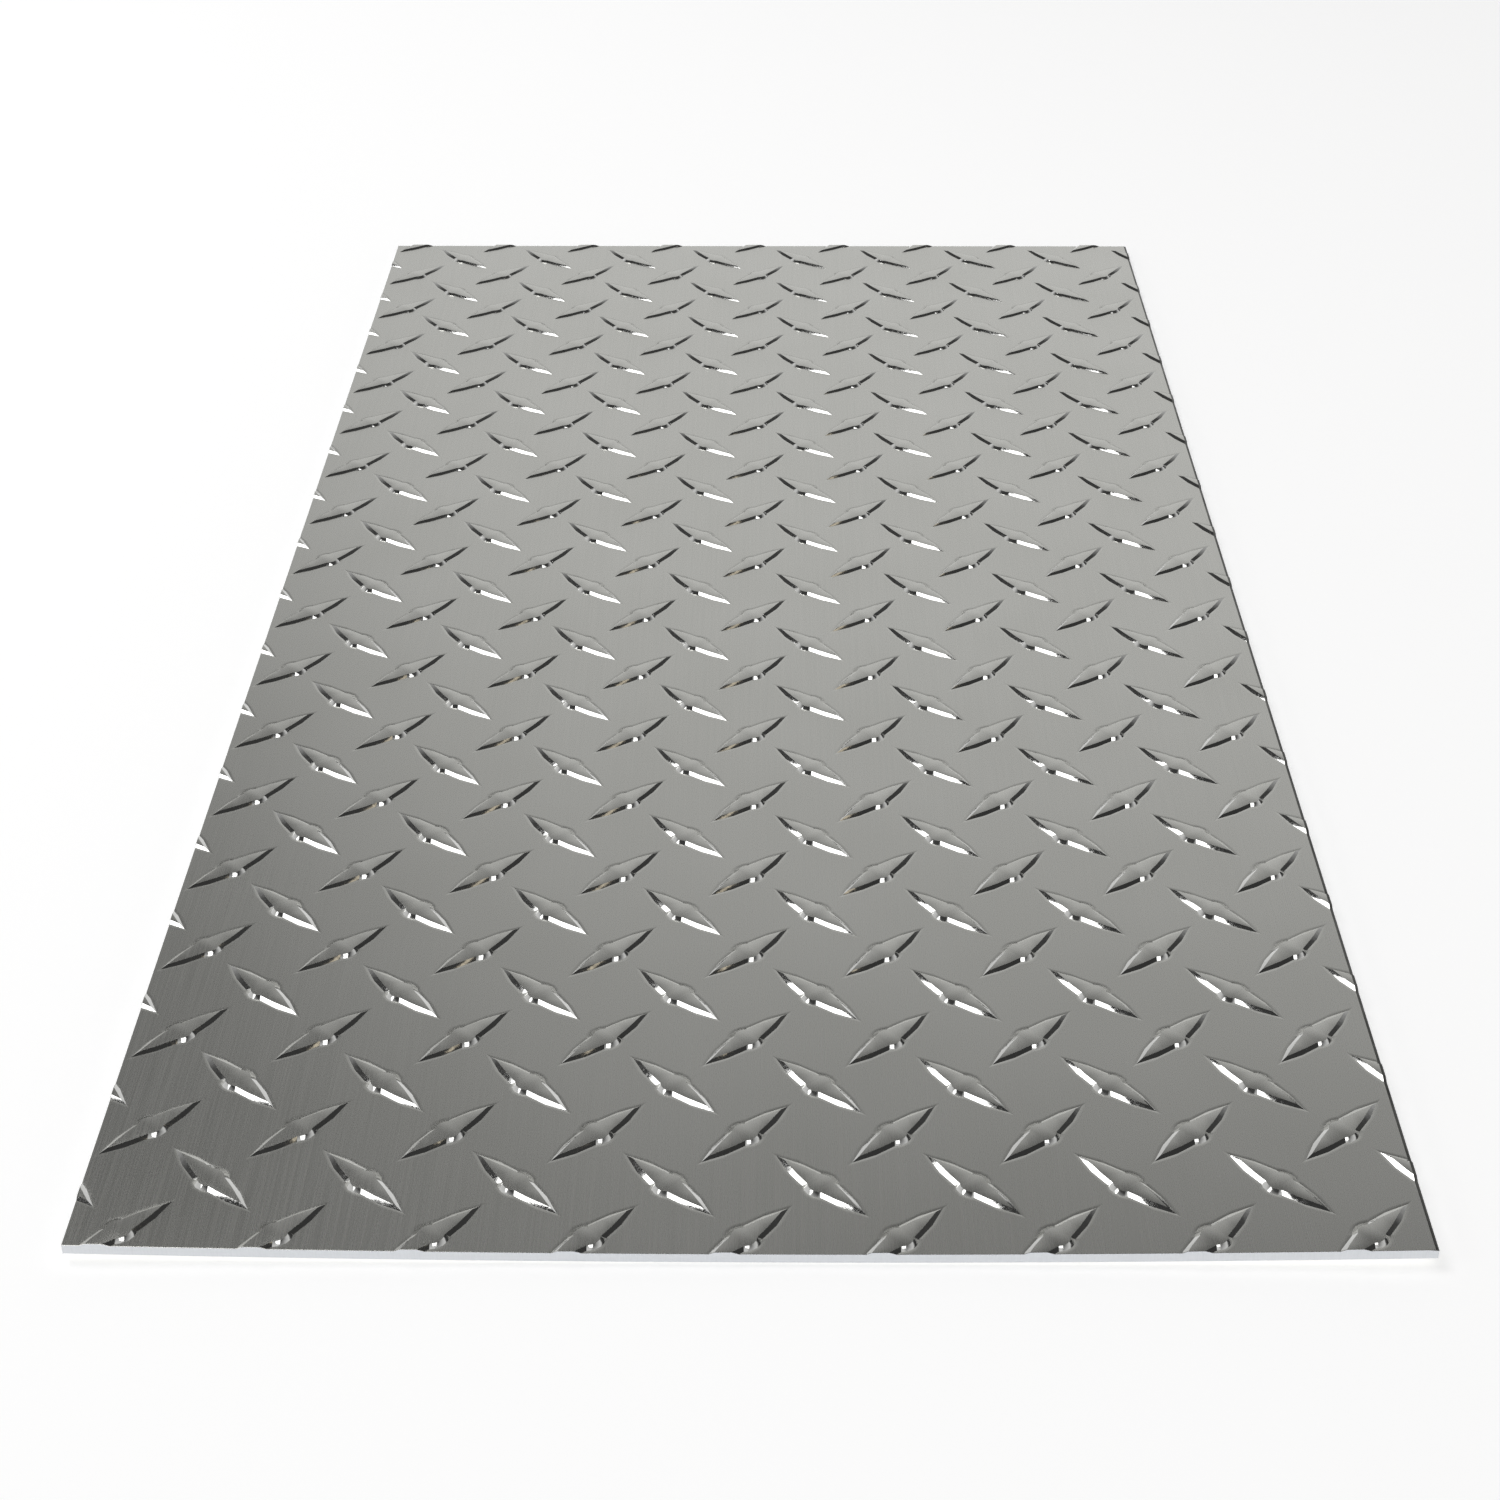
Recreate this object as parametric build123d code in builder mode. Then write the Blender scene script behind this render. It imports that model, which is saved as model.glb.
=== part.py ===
"""Aluminium tread sheet: rolled plate with raised lugs on one face, sheared to a rectangle.

Millimetres. The origin is the middle of the flat underside, +Y runs along the sheet's length
and +Z is up, so the lugs stand on the upper face.
"""

import os
from math import ceil, cos, radians, sin

from build123d import *

# The sheet
sheet_width = 304.8
sheet_length = 609.6
sheet_thickness = 2.54

# One lug: a slender blade, pointed at both ends, that swells into a boss at its middle
lug_length = 28.6
blade_width = 7.6
boss_width = 8.5
boss_sides = 8
lug_height = 0.55
tip_height = 0.4
draft_angle = 65

# The pattern: each lug points between two lugs that lean the other way, half a pitch along and across
lug_angle = 45
pitch_across = 34.9
pitch_along = 35.73
pattern_shift_x = -1.2
pattern_shift_y = -13.9

# How far a lug's tips reach from its middle, across the sheet and along it
tip_reach_x = lug_length / 2 * cos(radians(lug_angle))
tip_reach_y = lug_length / 2 * sin(radians(lug_angle))

# Columns and rows counted from the middle of the sheet, enough to run past every edge
columns_each_side = ceil(sheet_width / 2 / pitch_across) + 1
rows_each_side = ceil(sheet_length / 2 / pitch_along) + 1

# Lugs that stand clear of the sheared edges, and lugs that an edge cuts through
whole_lugs = []
cut_lugs = []
for column in range(-columns_each_side, columns_each_side + 1):
    for row in range(-rows_each_side, rows_each_side + 1):
        for half_step, lean in ((0, lug_angle), (0.5, -lug_angle)):
            x = pattern_shift_x + (column + half_step) * pitch_across
            y = pattern_shift_y + (row + half_step) * pitch_along
            inset_x = sheet_width / 2 - abs(x)
            inset_y = sheet_length / 2 - abs(y)
            place = Location((x, y, sheet_thickness), (0, 0, lean))
            if inset_x > tip_reach_x and inset_y > tip_reach_y:
                whole_lugs.append(place)
            elif inset_x > -tip_reach_x and inset_y > -tip_reach_y:
                cut_lugs.append(place)

with BuildPart() as lug:
    with BuildSketch() as footprint:
        Polygon(
            (-lug_length / 2, 0),
            (0, -blade_width / 2),
            (lug_length / 2, 0),
            (0, blade_width / 2),
            align=None,
        )
        RegularPolygon(
            boss_width / 2,
            boss_sides,
            major_radius=False,
            rotation=180 / boss_sides,
        )
    extrude(amount=lug_height)
    sides = lug.faces().filter_by(Axis.Z, reverse=True)
    draft(sides, Plane.XY, draft_angle)
    # Seen from the side, the lug is level over its boss and falls to a low tip at each end
    with BuildSketch(Plane.XZ) as side_view:
        Polygon(
            (-lug_length / 2, 0),
            (lug_length / 2, 0),
            (lug_length / 2, tip_height),
            (boss_width / 2, lug_height),
            (-boss_width / 2, lug_height),
            (-lug_length / 2, tip_height),
            align=None,
        )
    extrude(amount=boss_width, both=True, mode=Mode.INTERSECT)

# The shear cuts these lugs flush with the sheet's edges
with BuildPart() as edge_lugs:
    with Locations(*cut_lugs):
        add(lug.part)
    Box(
        sheet_width,
        sheet_length,
        sheet_thickness + lug_height,
        align=(Align.CENTER, Align.CENTER, Align.MIN),
        mode=Mode.INTERSECT,
    )

with BuildPart() as tread_sheet:
    Box(
        sheet_width,
        sheet_length,
        sheet_thickness,
        align=(Align.CENTER, Align.CENTER, Align.MIN),
    )
    add(edge_lugs.part)
    with Locations(*whole_lugs):
        add(lug.part)

tread_sheet.part.label = "tread_sheet"
os.makedirs("parts", exist_ok=True)
export_step(tread_sheet.part, "parts/tread_sheet.step")
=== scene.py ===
# %% [markdown]
# # A rolled aluminium tread sheet
#
# The object is a sheet of aluminium that a patterned roll has pressed, so that slender lugs stand
# up from one face. It was then sheared to a rectangle. The CAD model gives the size, the lug
# pattern and the frame: metres, with the origin in the middle of the flat underside, +Y along the
# sheet and +Z up. Here the same sheet gets the softer forms that the roll leaves, its finish, and
# a small studio to stand in.

# %% Load the frame
from math import radians

import bmesh
import bpy
import numpy as np
from mathutils import Matrix, Vector
from mathutils.geometry import delaunay_2d_cdt


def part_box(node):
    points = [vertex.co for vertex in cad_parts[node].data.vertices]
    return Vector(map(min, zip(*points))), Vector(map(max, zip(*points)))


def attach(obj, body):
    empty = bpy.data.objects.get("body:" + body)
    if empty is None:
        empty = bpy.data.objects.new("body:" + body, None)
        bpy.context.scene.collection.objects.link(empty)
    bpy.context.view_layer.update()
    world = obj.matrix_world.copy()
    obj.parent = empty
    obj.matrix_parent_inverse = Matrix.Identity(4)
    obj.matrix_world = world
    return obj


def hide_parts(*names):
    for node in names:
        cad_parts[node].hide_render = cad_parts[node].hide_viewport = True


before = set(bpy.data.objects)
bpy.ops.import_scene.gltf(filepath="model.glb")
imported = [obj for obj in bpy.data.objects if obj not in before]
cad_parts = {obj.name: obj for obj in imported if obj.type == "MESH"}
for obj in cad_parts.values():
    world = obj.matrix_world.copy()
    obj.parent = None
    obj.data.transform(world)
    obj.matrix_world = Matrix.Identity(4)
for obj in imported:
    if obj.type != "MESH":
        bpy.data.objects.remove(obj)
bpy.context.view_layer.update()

# %% [markdown]
# ## Sizes
#
# Width, length and full height are read from the CAD node, so they can't drift from it. The lug's
# own sizes are repeated here in millimetres, because a tread pattern is always given in
# millimetres, and one factor turns them to metres. Only the blade is narrower than in the CAD
# model: its sides are straight there and swell here.

# %% Driving sizes
MM = 0.001
lowest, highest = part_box("tread_sheet")
sheet_width = (highest.x - lowest.x) / MM
sheet_length = (highest.y - lowest.y) / MM
sheet_thickness = 2.54
lug_height = highest.z / MM - sheet_thickness

lug_length = 28.6
blade_width = 6.4
boss_width = 8.5
pitch_across = 34.9
pitch_along = 35.73
pattern_shift = np.array([-1.2, -13.9])
print(f"sheet {sheet_width:.1f} x {sheet_length:.1f} mm, lugs {lug_height:.2f} mm high")

# %% [markdown]
# ## The outline of one lug
#
# Seen from above, a lug is a blade with a round boss at its middle. The blade is the space that
# two equal arcs share, which gives it sharp tips and gently swelling sides. Arcs and circles have
# one great advantage: to move such a side in by a given distance, only the radius changes. So one
# formula gives the foot of the lug, the edge of its top and everything between.

# %% Outline of one lug
half_length = lug_length / 2
half_blade = blade_width / 2
arc_radius = (half_length**2 + half_blade**2) / (2 * half_blade)
arc_centre = arc_radius - half_blade


def blade_reach(turn, inset):
    """From the lug's middle to the blade's side, in the direction `turn` from the blade's axis.

    The side is an arc about a point beyond the axis, so the reach solves a ray against a circle:
    root of (centre x sin turn)^2 + (radius - inset)^2 - centre^2, less centre x sin turn.
    """
    lever = arc_centre * np.abs(np.sin(turn))
    return np.sqrt(lever**2 + (arc_radius - inset) ** 2 - arc_centre**2) - lever


def lug_reach(turn, inset):
    """From the lug's middle to its side: the blade's reach or the boss's radius, the larger one."""
    return np.maximum(blade_reach(turn, inset), boss_width / 2 - inset)


# The boss leaves the blade where their reaches are equal: found on a table of directions that are
# a hundredth of a degree apart
table = np.linspace(0, np.pi / 2, 9001)
corner_turn = table[np.argmin(np.abs(blade_reach(table, 0) - boss_width / 2))]

# One point on the blade between tip and boss, at this share of the half length
blade_share = 0.58
blade_turn = np.arctan2(half_blade * (1 - blade_share**2), blade_share * half_length)

# A quarter of the way round: tip, blade, corner, boss, middle of the boss's side. The rest is
# mirrored
quarter = np.array([0, blade_turn, corner_turn, (corner_turn + np.pi / 2) / 2])
turns = np.concatenate([quarter, [np.pi / 2], np.pi - quarter[:0:-1]])
turns = np.concatenate([turns, turns + np.pi])
around = len(turns)
half_round = around // 2
print(f"{around} points round a lug, boss meets blade at {np.degrees(corner_turn):.1f} degrees")

# %% [markdown]
# ## The side view of one lug
#
# The hollows in the roll are shallow and have slanting walls. So a lug is a low mesa: a nearly
# level top, one sloping side all round, and a sharp edge between them. It is highest over the boss
# and falls a little towards the tips, where the metal didn't fill the hollow. The metal came from
# beside it, so a shallow moat runs round the foot. Three rings of points say all of this: the edge
# of the top, the foot, and the outer edge of the moat.

# %% Rings of one lug
side_width = 1.15
tip_fall = 0.27
moat_width = 0.9
moat_slope = radians(5.5)
moat_depth = moat_width * np.tan(moat_slope) / 2

past_boss = np.abs(lug_reach(turns, side_width) * np.cos(turns)) - boss_width / 2
fall = 1 - tip_fall * np.clip(past_boss / (half_length - boss_width / 2), 0, 1)
top_reach = lug_reach(turns, side_width * fall)
foot_reach = lug_reach(turns, 0)
moat_reach = lug_reach(turns, -moat_width)
reach = np.stack([top_reach, foot_reach, moat_reach])
height = np.stack([lug_height * fall, np.full(around, -moat_depth), np.zeros(around)])
lug_rings = np.stack([reach * np.cos(turns), reach * np.sin(turns), height], axis=-1)
print(f"rings: {lug_rings.shape}, top {height[0].min():.2f} to {height[0].max():.2f} mm high")

# %% [markdown]
# ## Shading normals of one lug
#
# A few faces can show a curved side if each of their corners is given the true normal of the
# curve, and not the average of the flat faces. Seen from above, that normal points away from the
# centre of the arc. Seen from the side, the slope grows a little from the top's edge to the foot,
# and more so on the boss, which is rounder. The top itself is crowned by a few degrees. Where the
# boss meets the blade and along the top's edge the metal has a real crease, so normals belong to
# face corners and not to points.

# %% Normals at the corners of each face
step = np.arange(around)
ends = np.stack([step, (step + 1) % around], axis=1)
# On each long side of the lug, these steps lie on the boss and the others on the blade
boss_steps = [2, 3, 4, 5]
on_boss = np.isin(step % half_round, boss_steps)[:, None]
upper_side = np.where(step < half_round, 1, -1)[:, None]

ray = np.stack([np.cos(turns), np.sin(turns)], axis=-1)
foot = foot_reach[:, None] * ray
past_axis = np.concatenate([np.zeros((around, 1)), upper_side * arc_centre], axis=1)
from_arc = foot[ends] + past_axis[:, None]
outward = np.where(on_boss[:, :, None], foot[ends], from_arc)
outward /= np.linalg.norm(outward, axis=-1, keepdims=True)

# The same at each point, halfway between the faces on its two sides
shared = outward[:, 0] + np.roll(outward[:, 1], 1, axis=0)
shared /= np.linalg.norm(shared, axis=-1, keepdims=True)


def leaning(facing, degrees):
    """Unit vectors that lean from straight up towards `facing` by an angle."""
    angle = np.radians(np.broadcast_to(degrees, facing.shape[:-1]))[..., None]
    return np.concatenate([facing * np.sin(angle), np.cos(angle)], axis=-1)


# Slopes in degrees, at the edge of the top and at the foot
blade_above, blade_below = 27, 29.5
boss_above, boss_below = 50, 56
top_crown = 4
side_above = leaning(outward, np.where(on_boss, boss_above, blade_above))
side_below = leaning(outward, np.where(on_boss, boss_below, blade_below))
moat_normals = leaning(outward, -np.degrees(moat_slope))
flat_normals = leaning(outward, 0)
inner_normals = np.stack([side_above, moat_normals, flat_normals])
outer_normals = np.stack([side_below, flat_normals, flat_normals])
top_normals = leaning(shared, top_crown)
print("corner normals:", inner_normals.shape)

# %% [markdown]
# ## The ground round each lug
#
# To join the lugs into one skin, every lug gets a patch of ground of its own, and the patches fit
# together like tiles. Lugs point between two neighbours that lean the other way, so a patch is a
# square on its corner that bulges past its lug's tips and gives way beside its boss by the same
# amount. Tiles keep the mesh small: no face is spent on ground that is flat.

# %% Ground tiles
tip_bulge = 3.5
lean_angle = radians(45)
pitch = np.array([pitch_across, pitch_along])


def tile_corners(lean):
    """Eight corners of a tile, anticlockwise from the lug's tip.

    Tip, far corner, side, near corner, then the same four mirrored. The tip lies out from a quarter
    of the pitch by the bulge, and the side lies in from it by the bulge.
    """
    far = pitch / 4 + tip_bulge
    near = pitch / 4 - tip_bulge
    across = np.array([pitch_across / 2, 0])
    along = np.array([0, pitch_along / 2])
    rising = [far, along, near * [-1, 1], -across]
    falling = [far * [1, -1], across, near, along]
    half = np.array(rising if lean > 0 else falling)
    return np.concatenate([half, -half])


def tile_ring(lean):
    """The tile's corners with a point midway between each two, one for each point round the lug."""
    corners = tile_corners(lean)
    middles = (corners + np.roll(corners, -1, axis=0)) / 2
    points = np.stack([corners, middles], axis=1).reshape(-1, 2)
    return np.concatenate([points, np.zeros((around, 1))], axis=1)


def turned(vectors, lean):
    """Vectors turned about the upright axis: x cos - y sin, x sin + y cos, z as it was."""
    cosine, sine = np.cos(lean), np.sin(lean)
    return vectors @ np.array([[cosine, sine, 0], [-sine, cosine, 0], [0, 0, 1]])


tiles = {}
for lean in (lean_angle, -lean_angle):
    tiles[lean] = np.concatenate([turned(lug_rings, lean), tile_ring(lean)[None]])
rings = len(tiles[lean_angle])
print("points in a tile:", rings * around)

# %% [markdown]
# ## The faces of one tile
#
# Between two rings lies a belt of four-sided faces. The top of the lug is closed by faces that
# reach straight across from one side of the blade to the other, with a triangle at each tip. All
# of it is index arithmetic on whole arrays.

# %% Faces of one tile
this_point, next_point = ends.T
inner = np.arange(rings - 1)[:, None] * around
outer = inner + around
belt_faces = np.stack(
    [inner + this_point, outer + this_point, outer + next_point, inner + next_point], axis=-1
).reshape(-1, 4)

over = np.arange(1, half_round - 1)
top_faces = np.stack([over, over + 1, around - over - 1, around - over], axis=1)
tip_faces = np.array([[0, 1, around - 1], [half_round - 1, half_round, half_round + 1]])
tile_quads = np.concatenate([belt_faces, top_faces])

# Corner normals in the same order as the corners
belt_normals = np.stack(
    [
        inner_normals[:, :, 0],
        outer_normals[:, :, 0],
        outer_normals[:, :, 1],
        inner_normals[:, :, 1],
    ],
    axis=2,
).reshape(-1, 4, 3)
tile_normals = np.concatenate([belt_normals, top_normals[top_faces]])
print("faces in a tile:", len(tile_quads) + len(tip_faces))

# %% [markdown]
# ## The whole field
#
# The pattern repeats both ways, and the lugs that lean the other way sit half a pitch over in
# both. Broadcasting adds every place to every point of a tile at once. A few rows more than the
# sheet needs are made, because the shear comes next.

# %% Repeat the tile over the sheet
half_size = np.array([sheet_width, sheet_length]) / 2
counts = np.ceil(half_size / pitch).astype(int) + 1
columns, rows = np.meshgrid(*[np.arange(-count, count + 1) for count in counts])
grid = np.stack([columns.ravel(), rows.ravel()], axis=1)

points, quads, triangles, quad_normals, triangle_normals, is_side = [], [], [], [], [], []
made = 0
for half_step, lean in ((0, lean_angle), (0.5, -lean_angle)):
    centres = pattern_shift + (grid + half_step) * pitch
    centres = centres[np.all(np.abs(centres) < half_size + pitch / 2, axis=1)]
    lugs = len(centres)
    lift = np.concatenate([centres, np.full((lugs, 1), sheet_thickness)], axis=1)
    tile = tiles[lean].reshape(-1, 3)
    first = made + np.arange(lugs)[:, None, None] * len(tile)
    points.append((lift[:, None] + tile).reshape(-1, 3))
    quads.append((first + tile_quads).reshape(-1, 4))
    triangles.append((first + tip_faces).reshape(-1, 3))
    # The first belt of a tile is the side of its lug
    is_side.append(np.tile(np.arange(len(tile_quads)) < around, lugs))
    quad_normals.append(np.tile(turned(tile_normals, lean).reshape(-1, 3), (lugs, 1)))
    tip_normals = turned(top_normals[tip_faces], lean)
    triangle_normals.append(np.tile(tip_normals.reshape(-1, 3), (lugs, 1)))
    made += lugs * len(tile)

points = np.concatenate(points)
quads, triangles = np.concatenate(quads), np.concatenate(triangles)
corner_normals = np.concatenate(quad_normals + triangle_normals)
is_side = np.concatenate(is_side + [np.zeros(len(triangles), dtype=bool)])
print("field:", len(points), "points,", len(quads) + len(triangles), "faces")

# %% [markdown]
# ## Into a mesh
#
# A Blender mesh is flat lists: points, the point at each face corner, and where each face starts.
# foreach_set fills each of them in one call. The normals go along as an attribute, and the bright
# sides of the lugs as a material number, so that both are carried through the cuts.


# %% Fill a mesh from arrays
def fill_mesh(name, points, *faces):
    """A mesh from points in millimetres and arrays of faces, each with one number of corners."""
    mesh = bpy.data.meshes.new(name)
    corners = np.concatenate([f.ravel() for f in faces])
    sizes = np.concatenate([np.full(len(f), f.shape[1]) for f in faces])
    starts = np.concatenate([[0], np.cumsum(sizes)[:-1]])
    mesh.vertices.add(len(points))
    mesh.vertices.foreach_set("co", (points * MM).astype(np.float32).ravel())
    mesh.loops.add(len(corners))
    mesh.loops.foreach_set("vertex_index", corners.astype(np.int32))
    mesh.polygons.add(len(sizes))
    mesh.polygons.foreach_set("loop_start", starts.astype(np.int32))
    mesh.update(calc_edges=True)
    return mesh


# The finishes of the sheet, in the order of its materials; the last is painted dark shade
ROLLED, BURNISHED, SHEARED, BACK, PAINTED_SHADE = range(5)

field = fill_mesh("field", points, quads, triangles)
carried = field.attributes.new("shade", "FLOAT_VECTOR", "CORNER")
carried.data.foreach_set("vector", corner_normals.astype(np.float32).ravel())
side_finish = np.where(is_side, BURNISHED, ROLLED).astype(np.int32)
field.polygons.foreach_set("material_index", side_finish)
print("field mesh:", len(field.polygons), "faces")

# %% [markdown]
# ## The shear
#
# The real sheet was cut from a wider one, straight through whatever lugs lay in the way. Four
# bisecting planes do the same here. They stand in from the CAD edge by the roll-over, where the
# blade drew the face down before it cut, and a later step adds that back. The roll-over is widest
# along the right edge, where the photograph shows a dark line.

# %% Weld the tiles and cut the four edges
# Width of the roll-over: at the left and near edges, then at the right and far edges
roll_low = np.array([0.1, 0.1])
roll_high = np.array([0.8, 0.1])
weld_distance = 0.002
cut_tolerance = 0.0002

cutter = bmesh.new()
cutter.from_mesh(field)
bmesh.ops.remove_doubles(cutter, verts=cutter.verts[:], dist=weld_distance * MM)
cut_low, cut_high = roll_low - half_size, half_size - roll_high
for axis, side in ((0, 1), (0, -1), (1, 1), (1, -1)):
    face_out = Vector((0, 0, 0))
    face_out[axis] = side
    from_middle = float(cut_high[axis] if side > 0 else -cut_low[axis])
    bmesh.ops.bisect_plane(
        cutter,
        geom=cutter.verts[:] + cutter.edges[:] + cutter.faces[:],
        dist=cut_tolerance * MM,
        plane_co=face_out * from_middle * MM,
        plane_no=face_out,
        clear_outer=True,
    )
skin = bpy.data.meshes.new("skin")
cutter.to_mesh(skin)
cutter.free()
bpy.data.meshes.remove(field)
print("skin after the shear:", len(skin.vertices), "points,", len(skin.polygons), "faces")

# %% [markdown]
# ## Read the skin back
#
# The cut made new points, so the arrays are read again from the mesh. An edge that only one face
# uses is on the border, and its face's direction round it says which way is out.


# %% Arrays of the skin, and its border
def read(collection, key, width=1, kind=np.float32):
    """One property of a whole collection as an array with `width` numbers in each row."""
    values = np.empty(len(collection) * width, dtype=kind)
    collection.foreach_get(key, values)
    return values.reshape(-1, width) if width > 1 else values


skin_points = read(skin.vertices, "co", 3).astype(float) / MM
skin_corners = read(skin.loops, "vertex_index", kind=np.int32)
skin_starts = read(skin.polygons, "loop_start", kind=np.int32)
skin_sizes = read(skin.polygons, "loop_total", kind=np.int32)
skin_shade = read(skin.attributes["shade"].data, "vector", 3).astype(float)
skin_finish = read(skin.polygons, "material_index", kind=np.int32)
corner_edges = read(skin.loops, "edge_index", kind=np.int32)

following = np.arange(len(skin_corners)) + 1
following[skin_starts + skin_sizes - 1] = skin_starts
uses = np.bincount(corner_edges, minlength=len(skin.edges))
on_border = uses[corner_edges] == 1
border_from = skin_corners[on_border]
border_to = skin_corners[following[on_border]]
rim = np.unique(border_from)
print("border:", len(rim), "points")

# %% [markdown]
# ## Sheared edges
#
# From the border the edge goes out and down over the roll-over, straight down the cut face, and in
# again at the foot. Each is a copy of the border at another height, and a belt of faces joins each
# copy to the next. The roll-over is round, so its normals lean further and further out from the
# border to the edge.

# %% Copies of the border
foot_chamfer = 0.12
# The face is drawn down by this share of the roll-over's width
roll_drop = 0.35
# A border point is on a cut if it is this near to it
on_cut = 0.01

rim_points = skin_points[rim]
rim_flat = rim_points[:, :2]
at_low, at_high = np.abs(rim_flat - cut_low) < on_cut, np.abs(rim_flat - cut_high) < on_cut
at_edge = at_low | at_high
drop = roll_drop * np.max(at_low * roll_low + at_high * roll_high, axis=1)
outer_flat = np.where(at_edge, np.sign(rim_flat) * half_size, rim_flat)
foot_flat = np.where(at_edge, np.sign(rim_flat) * (half_size - foot_chamfer), rim_flat)


def at_height(flat, z):
    """Points with their height set to z."""
    return np.column_stack([flat, np.broadcast_to(z, len(flat))])


copies = [
    at_height(outer_flat, rim_points[:, 2] - drop),
    at_height(outer_flat, foot_chamfer),
    at_height(foot_flat, 0),
]
print("copies of the border:", len(copies))

# %% Edge belts
place_in_rim = np.zeros(len(skin_points), dtype=int)
place_in_rim[rim] = np.arange(len(rim))
start, stop = place_in_rim[border_from], place_in_rim[border_to]

belts = len(copies)
ids = [rim] + [len(skin_points) + n * len(rim) + np.arange(len(rim)) for n in range(belts)]
edge_faces = np.concatenate(
    [
        np.stack([above[stop], above[start], below[start], below[stop]], axis=1)
        for above, below in zip(ids[:-1], ids[1:])
    ]
)

# Which way each face of the edge looks, and the normals at the four corners of the roll-over's
# faces: two at the border, which lean a little, and two at the edge
border_lean, edge_lean = 4, 32
edge_out = np.where(at_edge[start] & at_edge[stop], np.sign(rim_flat[start]), 0)
leans = (border_lean, border_lean, edge_lean, edge_lean)
roll_normals = np.stack([leaning(edge_out, degrees) for degrees in leans], axis=1)
print("edge faces:", len(edge_faces))

# %% [markdown]
# ## The underside
#
# The back of rolled tread plate is flat. It could be one huge face, but the sheet is going to be
# bent a little, so the rectangle is filled with triangles over a coarse grid: a constrained
# triangulation keeps every border point.

# %% Fill the underside
# The grid, as shares of the half width and the half length
shares_across = np.linspace(-0.9, 0.9, 10)
shares_along = np.linspace(-0.95, 0.95, 20)
inside_only = 1
merge_distance = 1e-5

grid_x, grid_y = np.meshgrid(shares_across * half_size[0], shares_along * half_size[1])
inside = np.column_stack([grid_x.ravel(), grid_y.ravel()])
flat_points = np.concatenate([foot_flat, inside])
border_edges = np.stack([start, stop], axis=1).tolist()
placed, _, filled, origins, _, _ = delaunay_2d_cdt(
    [Vector(p) for p in flat_points.tolist()], border_edges, [], inside_only, merge_distance
)
if len(placed) != len(flat_points):
    raise RuntimeError("the underside lost a border point")
inside_ids = len(skin_points) + belts * len(rim) + np.arange(len(inside))
source = np.array([origin[0] for origin in origins])
flat_ids = np.concatenate([ids[-1], inside_ids])
under_faces = flat_ids[source[np.array(filled)]][:, ::-1]
print("underside:", len(under_faces), "triangles")

# %% [markdown]
# ## The bend
#
# A thin sheet never lies quite flat. In the photograph its two near corners curl up by about two
# millimetres, while the middle of the near edge and the far edge lie on the table. The rise grows
# with the square of the distance from the middle line and fades evenly along the sheet. Every
# point is lifted by it, and the normals lean with its slope.

# %% Curl the near corners
curl_left = 1.87
curl_right = 2.09


def curl(points):
    """Rise, its slope across and its slope along.

    The rise is corner rise x (x over half width)^2 x share of the length from the far end.
    """
    across = points[..., 0] / half_size[0]
    from_far = 0.5 - points[..., 1] / sheet_length
    corner = np.where(across < 0, curl_left, curl_right)
    rise = corner * across**2 * from_far
    return rise, 2 * corner * across * from_far / half_size[0], -corner * across**2 / sheet_length


all_points = np.concatenate([skin_points] + copies + [at_height(inside, 0)])
rise, _, _ = curl(all_points)
all_points[:, 2] += rise

_, slope_x, slope_y = curl(skin_points[skin_corners])
skin_shade[:, 0] -= slope_x * skin_shade[:, 2]
skin_shade[:, 1] -= slope_y * skin_shade[:, 2]
skin_shade /= np.linalg.norm(skin_shade, axis=1, keepdims=True)
print(f"near corners rise {rise.max():.2f} mm")

# %% [markdown]
# ## The finished sheet
#
# Skin, edges and underside become one closed mesh. The skin and the roll-over keep their
# worked-out normals; the cut faces and the underside are flat, which a normal of zero length asks
# for. Then the piece is tied to the frame: it rides on the one body and stands for the CAD sheet.

# %% Build the sheet
counted = np.unique(skin_sizes)
skin_order = [skin_starts[skin_sizes == n][:, None] + np.arange(n) for n in counted]
skin_faces = [skin_corners[order] for order in skin_order]
sheet_mesh = fill_mesh("tread_skin", all_points, *skin_faces, edge_faces, under_faces)

# Finish of each face: the skin's own, then the roll-over, which carries painted dark shade along
# the right edge, the cut faces and the underside
face_finish = [skin_finish[skin_sizes == n] for n in counted]
face_finish.append(np.where(edge_out[:, 0] > 0, PAINTED_SHADE, ROLLED))
face_finish.append(np.repeat([SHEARED, BACK], [(belts - 1) * len(start), len(under_faces)]))
finish_index = np.concatenate(face_finish).astype(np.int32)
is_round = np.isin(finish_index, (ROLLED, BURNISHED, PAINTED_SHADE))
sheet_mesh.polygons.foreach_set("use_smooth", is_round)

shade = np.zeros((len(sheet_mesh.loops), 3))
skin_end = len(skin_corners)
roll_end = skin_end + roll_normals.size // 3
shade[:skin_end] = skin_shade[np.concatenate([order.ravel() for order in skin_order])]
shade[skin_end:roll_end] = roll_normals.reshape(-1, 3)
sheet_mesh.normals_split_custom_set(shade.tolist())
bpy.data.meshes.remove(skin)

tread_skin = bpy.data.objects.new("tread_skin", sheet_mesh)
bpy.context.scene.collection.objects.link(tread_skin)
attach(tread_skin, "root")
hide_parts("tread_sheet")
edge_uses = np.bincount(read(sheet_mesh.loops, "edge_index", kind=np.int32))
print("sheet:", len(sheet_mesh.polygons), "faces; open edges:", int(np.sum(edge_uses != 2)))

# %% [markdown]
# ## Materials
#
# Colours are written as the sRGB hex values that a screen shows, and one function turns them to
# the linear values that Blender mixes. One more function adds a node with its settings and its
# links, so that a material reads as a short list.


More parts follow.
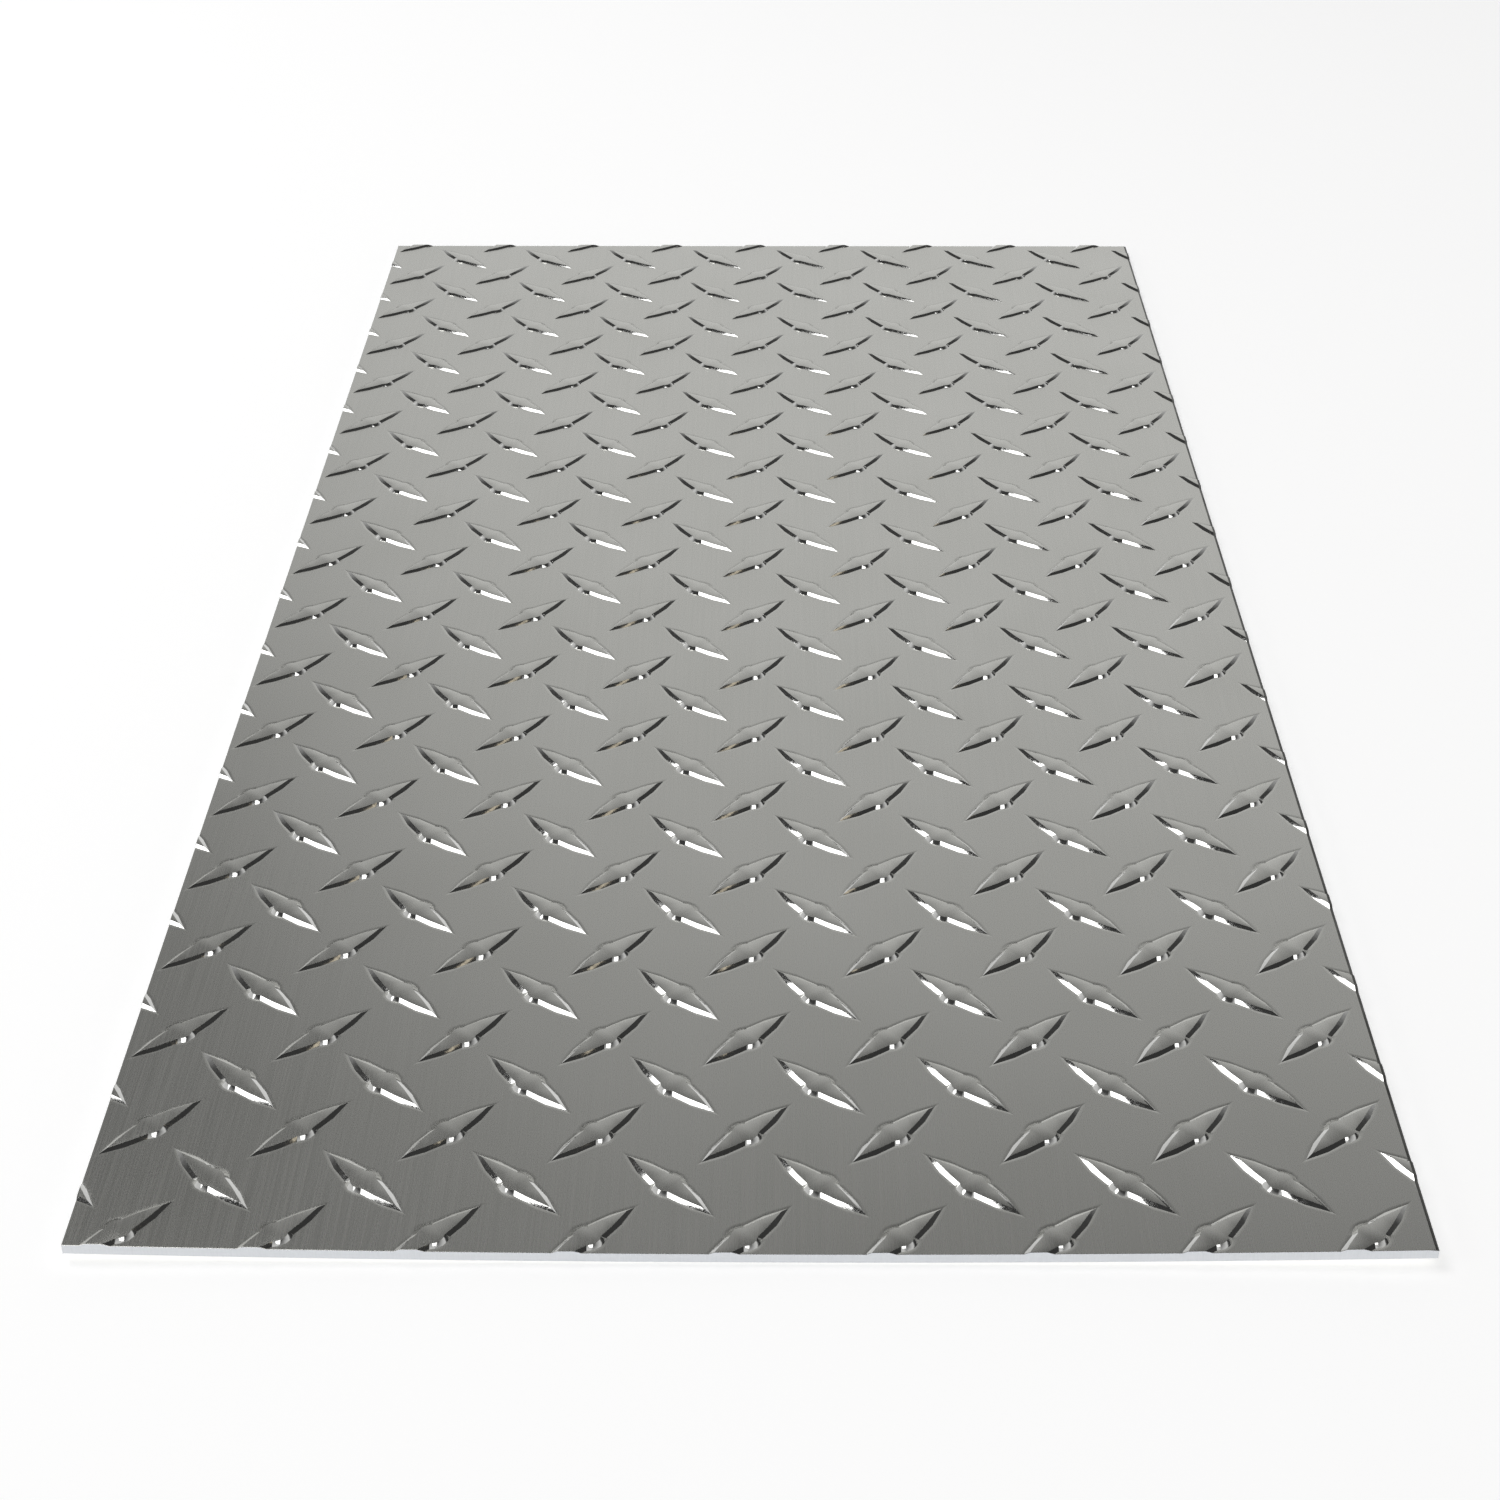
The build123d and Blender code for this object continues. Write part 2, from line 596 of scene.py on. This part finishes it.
# %% Helpers for materials
def srgb(code):
    """An sRGB hex colour as linear red, green, blue and alpha, by the sRGB curve."""
    value = np.array([int(code[n : n + 2], 16) for n in (1, 3, 5)]) / 255
    linear = np.where(value <= 0.04045, value / 12.92, ((value + 0.055) / 1.055) ** 2.4)
    return (*linear.tolist(), 1.0)


def add_node(tree, kind, settings=None, inputs=None):
    """Adds a node of a kind; settings are its properties, inputs are values or feeding sockets."""
    node = tree.nodes.new(kind)
    for key, value in (settings or {}).items():
        setattr(node, key, value)
    for key, value in (inputs or {}).items():
        if isinstance(value, bpy.types.NodeSocket):
            tree.links.new(value, node.inputs[key])
        else:
            node.inputs[key].default_value = value
    return node


def new_material(name):
    """A material with an empty node tree."""
    material = bpy.data.materials.new(name)
    material.use_nodes = True
    material.node_tree.nodes.clear()
    return material


# Noise runs from 0 to 1, but most of it lies in this span
noise_span = {"From Min": 0.3, "From Max": 0.7}
print("white in linear:", srgb("#FFFFFF")[:3])

# %% [markdown]
# ### The rolled face
#
# Aluminium straight from the mill is satin: the roll's own grinding marks print fine lines along
# the sheet. They blur what the metal mirrors, so the ground shows only how bright its surroundings
# are and not what stands there.

# %% Rolled aluminium
rolled = new_material("mill_rolled_aluminium")
tree = rolled.node_tree
place = add_node(tree, "ShaderNodeTexCoord").outputs["Object"]

# Grinding marks are about 0.1 mm wide and centimetres long; they are drawn 0.4 mm wide so that
# they show
mark_width = 0.4 * MM
mark_length = 45 * MM
stretched = add_node(
    tree,
    "ShaderNodeMapping",
    inputs={"Vector": place, "Scale": (1 / mark_width, 1 / mark_length, 1 / mark_width)},
).outputs["Vector"]
marks = add_node(
    tree, "ShaderNodeTexNoise", inputs={"Vector": stretched, "Scale": 1.0, "Detail": 2.0}
).outputs["Fac"]

# Slow clouding a few centimetres wide, where the sheet took the roll's oil unevenly
cloud_width = 45 * MM
clouds = add_node(
    tree, "ShaderNodeTexNoise", inputs={"Vector": place, "Scale": 1 / cloud_width, "Detail": 2.0}
).outputs["Fac"]

rough = add_node(
    tree,
    "ShaderNodeMapRange",
    inputs={"Value": marks, **noise_span, "To Min": 0.255, "To Max": 0.285},
).outputs["Result"]
tone = add_node(
    tree,
    "ShaderNodeMix",
    {"data_type": "RGBA"},
    {0: clouds, 6: srgb("#E1E1DB"), 7: srgb("#EBEBE6")},
).outputs[2]
relief = add_node(
    tree, "ShaderNodeBump", inputs={"Height": marks, "Strength": 0.035, "Distance": 0.02 * MM}
).outputs["Normal"]
shader = add_node(
    tree,
    "ShaderNodeBsdfPrincipled",
    inputs={"Base Color": tone, "Metallic": 1.0, "Roughness": rough, "Normal": relief},
)
add_node(tree, "ShaderNodeOutputMaterial", inputs={"Surface": shader.outputs["BSDF"]})
print("rolled face:", len(tree.nodes), "nodes")

# %% [markdown]
# ### The lug sides
#
# The sides were pressed against the polished walls of the hollows and slid along them as the roll
# let go, so they come out burnished. They mirror lamps and dark ceiling sharply, which is what
# makes tread plate sparkle.

# %% Burnished aluminium
burnished = new_material("roll_burnished_aluminium")
tree = burnished.node_tree
place = add_node(tree, "ShaderNodeTexCoord").outputs["Object"]
# Small dents and drag marks, about a millimetre wide
dent_width = 0.9 * MM
dents = add_node(
    tree, "ShaderNodeTexNoise", inputs={"Vector": place, "Scale": 1 / dent_width, "Detail": 1.0}
).outputs["Fac"]
rough = add_node(
    tree,
    "ShaderNodeMapRange",
    inputs={"Value": dents, **noise_span, "To Min": 0.06, "To Max": 0.13},
).outputs["Result"]
tone = add_node(
    tree, "ShaderNodeMix", {"data_type": "RGBA"}, {0: dents, 6: srgb("#E4E4E1"), 7: srgb("#F0F0EE")}
).outputs[2]
relief = add_node(
    tree, "ShaderNodeBump", inputs={"Height": dents, "Strength": 0.25, "Distance": 0.03 * MM}
).outputs["Normal"]
shader = add_node(
    tree,
    "ShaderNodeBsdfPrincipled",
    inputs={"Base Color": tone, "Metallic": 1.0, "Roughness": rough, "Normal": relief},
)
add_node(tree, "ShaderNodeOutputMaterial", inputs={"Surface": shader.outputs["BSDF"]})
print("lug sides:", len(tree.nodes), "nodes")

# %% [markdown]
# ### The sheared edges
#
# A shear blade presses through the first third of the thickness and tears the rest, so the cut
# face is a matt, pale metal with fine upright scratches.

# %% Sheared aluminium
sheared = new_material("sheared_aluminium")
tree = sheared.node_tree
place = add_node(tree, "ShaderNodeTexCoord").outputs["Object"]
# Scratches from the blade are about 0.05 mm wide, drawn 0.35 mm wide so that they show
scratch_width = 0.35 * MM
scratch_length = 6 * MM
upright = add_node(
    tree,
    "ShaderNodeMapping",
    inputs={
        "Vector": place,
        "Scale": (1 / scratch_width, 1 / scratch_width, 1 / scratch_length),
    },
).outputs["Vector"]
scratches = add_node(
    tree, "ShaderNodeTexNoise", inputs={"Vector": upright, "Scale": 1.0, "Detail": 2.0}
).outputs["Fac"]
tone = add_node(
    tree,
    "ShaderNodeMix",
    {"data_type": "RGBA"},
    {0: scratches, 6: srgb("#D3D6DA"), 7: srgb("#E8EAED")},
).outputs[2]
rough = add_node(
    tree,
    "ShaderNodeMapRange",
    inputs={"Value": scratches, **noise_span, "To Min": 0.38, "To Max": 0.55},
).outputs["Result"]
relief = add_node(
    tree, "ShaderNodeBump", inputs={"Height": scratches, "Strength": 0.3, "Distance": 0.03 * MM}
).outputs["Normal"]
shader = add_node(
    tree,
    "ShaderNodeBsdfPrincipled",
    inputs={"Base Color": tone, "Metallic": 1.0, "Roughness": rough, "Normal": relief},
)
add_node(tree, "ShaderNodeOutputMaterial", inputs={"Surface": shader.outputs["BSDF"]})
print("sheared edges:", len(tree.nodes), "nodes")

# %% [markdown]
# ### The underside
#
# The back ran over a plain roll. It has the same mill finish without lugs: long faint lines on a
# greyer, duller ground.

# %% Plain rolled back
back = new_material("plain_rolled_aluminium")
tree = back.node_tree
place = add_node(tree, "ShaderNodeTexCoord").outputs["Object"]
line_width = 0.8 * MM
line_length = 120 * MM
lines = add_node(
    tree,
    "ShaderNodeMapping",
    inputs={"Vector": place, "Scale": (1 / line_width, 1 / line_length, 1 / line_width)},
).outputs["Vector"]
streaks = add_node(
    tree, "ShaderNodeTexNoise", inputs={"Vector": lines, "Scale": 1.0, "Detail": 3.0}
).outputs["Fac"]
tone = add_node(
    tree,
    "ShaderNodeMix",
    {"data_type": "RGBA"},
    {0: streaks, 6: srgb("#D6D6D2"), 7: srgb("#E4E4E0")},
).outputs[2]
rough = add_node(
    tree,
    "ShaderNodeMapRange",
    inputs={"Value": streaks, **noise_span, "To Min": 0.34, "To Max": 0.46},
).outputs["Result"]
shader = add_node(
    tree,
    "ShaderNodeBsdfPrincipled",
    inputs={"Base Color": tone, "Metallic": 1.0, "Roughness": rough},
)
add_node(tree, "ShaderNodeOutputMaterial", inputs={"Surface": shader.outputs["BSDF"]})
print("underside:", len(tree.nodes), "nodes")

# %% [markdown]
# ### The painted dark edge
#
# Along the right edge, where the blade drew the face down furthest, the roll-over is painted dark:
# painted shade that stands in for a dark reflection. It is a thin line, dull and dark, with
# lighter patches.

# %% Painted dark shade on aluminium
dark_painted = new_material("painted_shade_aluminium")
tree = dark_painted.node_tree
place = add_node(tree, "ShaderNodeTexCoord").outputs["Object"]
# The painted shade is lighter in patches about 9 mm long
shade_patch_size = 9 * MM
shade_patches = add_node(
    tree, "ShaderNodeTexNoise", inputs={"Vector": place, "Scale": 1 / shade_patch_size, "Detail": 3.0}
).outputs["Fac"]
# Painted shade: dark tones that stand in for a dark reflection along the right edge
tone = add_node(
    tree, "ShaderNodeMix", {"data_type": "RGBA"}, {0: shade_patches, 6: srgb("#4A4A48"), 7: srgb("#8A8A86")}
).outputs[2]
rough = add_node(
    tree,
    "ShaderNodeMapRange",
    inputs={"Value": shade_patches, **noise_span, "To Min": 0.42, "To Max": 0.3},
).outputs["Result"]
shader = add_node(
    tree,
    "ShaderNodeBsdfPrincipled",
    inputs={"Base Color": tone, "Metallic": 1.0, "Roughness": rough},
)
add_node(tree, "ShaderNodeOutputMaterial", inputs={"Surface": shader.outputs["BSDF"]})
print("rubbed edge:", len(tree.nodes), "nodes")

# %% Give the sheet its finishes
for finish in (rolled, burnished, sheared, back, dark_painted):
    sheet_mesh.materials.append(finish)
sheet_mesh.polygons.foreach_set("material_index", finish_index)
print("finishes:", [m.name for m in sheet_mesh.materials])

# %% [markdown]
# ## The studio
#
# Bare metal shows its surroundings, so the lamps are placed by what the lugs should mirror. The
# sides that face left and forward show a large soft lamp, up on the left, and so they are white.
# Those that face right look past it into the dark, but for a warm strip lamp, and the round bosses
# catch one more soft lamp on the right and a lit card on the left as small glints. The floor is
# white paper: it gives back the lamps' light with the sheet's shadow in it, and a glow of its own,
# which only the eye and mirroring surfaces see, lifts it to white.

# %% Floor
floor_reach = 4000
# A hair under the sheet, so that the two never lie in one plane
floor_level = -0.3
corners = np.array([[-1, -1, 0], [1, -1, 0], [1, 1, 0], [-1, 1, 0]]) * floor_reach
floor_mesh = fill_mesh("floor", corners + [0, 0, floor_level], np.array([[0, 1, 2, 3]]))
floor = bpy.data.objects.new("floor", floor_mesh)
bpy.context.scene.collection.objects.link(floor)

glow_strength = 0.55
paper = new_material("white_paper")
tree = paper.node_tree
matt = add_node(tree, "ShaderNodeBsdfDiffuse", inputs={"Color": srgb("#F7F7F7")}).outputs["BSDF"]
rays = add_node(tree, "ShaderNodeLightPath").outputs
seen = add_node(
    tree,
    "ShaderNodeMath",
    {"operation": "MAXIMUM"},
    {0: rays["Is Camera Ray"], 1: rays["Is Glossy Ray"]},
).outputs[0]
seen = add_node(
    tree, "ShaderNodeMath", {"operation": "MAXIMUM"}, {0: seen, 1: rays["Is Transmission Ray"]}
).outputs[0]
glow_share = add_node(
    tree, "ShaderNodeMath", {"operation": "MULTIPLY"}, {0: seen, 1: glow_strength}
).outputs[0]
glow = add_node(
    tree, "ShaderNodeEmission", inputs={"Color": srgb("#FFFFFF"), "Strength": glow_share}
).outputs["Emission"]
mixed = add_node(tree, "ShaderNodeAddShader", inputs={0: matt, 1: glow}).outputs[0]
add_node(tree, "ShaderNodeOutputMaterial", inputs={"Surface": mixed})
floor_mesh.materials.append(paper)
print("floor:", floor.name)


# %% Lamps
def soft_lamp(name, centre, turn, width, depth, radiance, tint="#FFFFFF"):
    """A rectangular lamp, facing down before it is turned.

    Its brightness is given as it is seen: watts are pi x area x that.
    """
    lamp = bpy.data.lights.new(name, "AREA")
    lamp.shape = "RECTANGLE"
    lamp.size, lamp.size_y = width, depth
    lamp.energy = np.pi * width * depth * radiance
    lamp.color = srgb(tint)[:3]
    body = bpy.data.objects.new(name, lamp)
    body.location = centre
    body.rotation_euler = [radians(angle) for angle in turn]
    body.visible_camera = False
    bpy.context.scene.collection.objects.link(body)


soft_lamp("left_softbox", (-1.218, 0.42, 2.0), (0, 0, -19.4), 1.52, 1.2, radiance=3.0)
soft_lamp("warm_strip", (0.68, 0.25, 2.0), (0, 0, 0), 0.12, 0.7, radiance=0.55, tint="#FFF1D6")
soft_lamp("right_softbox", (1.35, -2.33, 2.0), (0, 0, 0), 1.6, 1.75, radiance=1.8)
soft_lamp("left_card", (-2.0, -0.95, 1.05), (0, -90, 0), 0.5, 0.8, radiance=1.8)

# %% [markdown]
# The surroundings are a pale studio wall that is brightest near the floor and fades to a dark
# ceiling. The flat ground of the sheet mirrors the wall: seen low, at the far end, it shows the
# bright foot of the wall, and seen from higher up, at the near end, the darker part above. Towards
# the sides the dark comes lower down. The lug sides look up there, so those that miss the lamps go
# nearly black.

# %% Height on the wall
world = bpy.data.worlds.new("studio")
bpy.context.scene.world = world
world.use_nodes = True
tree = world.node_tree
tree.nodes.clear()
direction = add_node(tree, "ShaderNodeTexCoord").outputs["Generated"]
parts = add_node(tree, "ShaderNodeSeparateXYZ", inputs={"Vector": direction}).outputs

# How far to the side, measured from a little right of the middle
wall_middle = 0.12
sideways = add_node(
    tree, "ShaderNodeMath", {"operation": "SUBTRACT"}, {0: parts["X"], 1: wall_middle}
).outputs[0]
sideways = add_node(tree, "ShaderNodeMath", {"operation": "ABSOLUTE"}, {0: sideways}).outputs[0]
lower = add_node(
    tree,
    "ShaderNodeMapRange",
    {"interpolation_type": "SMOOTHSTEP"},
    {"Value": sideways, "From Min": 0.18, "From Max": 0.4, "To Min": 0.0, "To Max": 0.2},
).outputs["Result"]
up = add_node(tree, "ShaderNodeMath", {"operation": "ADD"}, {0: parts["Z"], 1: lower}).outputs[0]
print("world:", world.name)

# %% [markdown]
# A dark bench stands low along the right, for the right flanks of the bosses to mirror. Only
# mirroring surfaces see it: to the eye the wall there is plain.

# %% Bench
past_right = add_node(
    tree,
    "ShaderNodeMapRange",
    {"interpolation_type": "SMOOTHSTEP"},
    {"Value": parts["X"], "From Min": 0.36, "From Max": 0.46, "To Min": 0.0, "To Max": 0.7},
).outputs["Result"]
below_top = add_node(
    tree,
    "ShaderNodeMapRange",
    {"interpolation_type": "SMOOTHSTEP"},
    {"Value": parts["Z"], "From Min": 0.12, "From Max": 0.24, "To Min": 1.0, "To Max": 0.0},
).outputs["Result"]
bench = add_node(
    tree, "ShaderNodeMath", {"operation": "MULTIPLY"}, {0: past_right, 1: below_top}
).outputs[0]
mirrored = add_node(tree, "ShaderNodeLightPath").outputs["Is Glossy Ray"]
bench = add_node(
    tree, "ShaderNodeMath", {"operation": "MULTIPLY"}, {0: bench, 1: mirrored}
).outputs[0]
up = add_node(tree, "ShaderNodeMath", {"operation": "ADD"}, {0: up, 1: bench}).outputs[0]
print("bench and wall:", len(tree.nodes), "nodes")

# %% Brightness of the wall
wall = add_node(tree, "ShaderNodeValToRGB", inputs={"Fac": up})
# Each stop: the sine of the height above the horizon, and how bright the wall is there
stops = [
    (0.0, 0.80),
    (0.2, 0.68),
    (0.37, 0.60),
    (0.48, 0.58),
    (0.57, 0.43),
    (0.66, 0.225),
    (0.74, 0.05),
    (1.0, 0.035),
]
ramp = wall.color_ramp
ramp.elements[0].position, ramp.elements[1].position = stops[0][0], stops[-1][0]
for position, _ in stops[1:-1]:
    ramp.elements.new(position)
for element, (_, bright) in zip(ramp.elements, stops):
    element.color = (bright, bright, bright, 1)
surround = add_node(tree, "ShaderNodeBackground", inputs={"Color": wall.outputs["Color"]})
add_node(tree, "ShaderNodeOutputWorld", inputs={"Surface": surround.outputs["Background"]})
print("wall:", len(ramp.elements), "stops")

# %% [markdown]
# ## The camera
#
# Place, angle and focal length come from the sheet's own corners in the photograph, whose real
# distances are known.

# %% Camera
lens = bpy.data.cameras.new("camera")
lens.sensor_width = 36
lens.lens = 62.743
lens.clip_start = 0.01
camera = bpy.data.objects.new("camera", lens)
camera.location = (0.0049, -0.7366, 0.4014 + sheet_thickness * MM)

# In degrees: turn about the upright axis, tilt up from straight down, roll about the view
camera_turn, camera_tilt, camera_roll = 0.571, 58.01, -0.1665
aim = Matrix.Rotation(radians(camera_turn), 3, "Z") @ Matrix.Rotation(radians(camera_tilt), 3, "X")
camera.rotation_euler = (aim @ Matrix.Rotation(radians(camera_roll), 3, "Z")).to_euler()
bpy.context.scene.collection.objects.link(camera)
bpy.context.scene.camera = camera
bpy.context.scene.view_settings.view_transform = "Standard"
print("camera at", [round(v, 3) for v in camera.location])
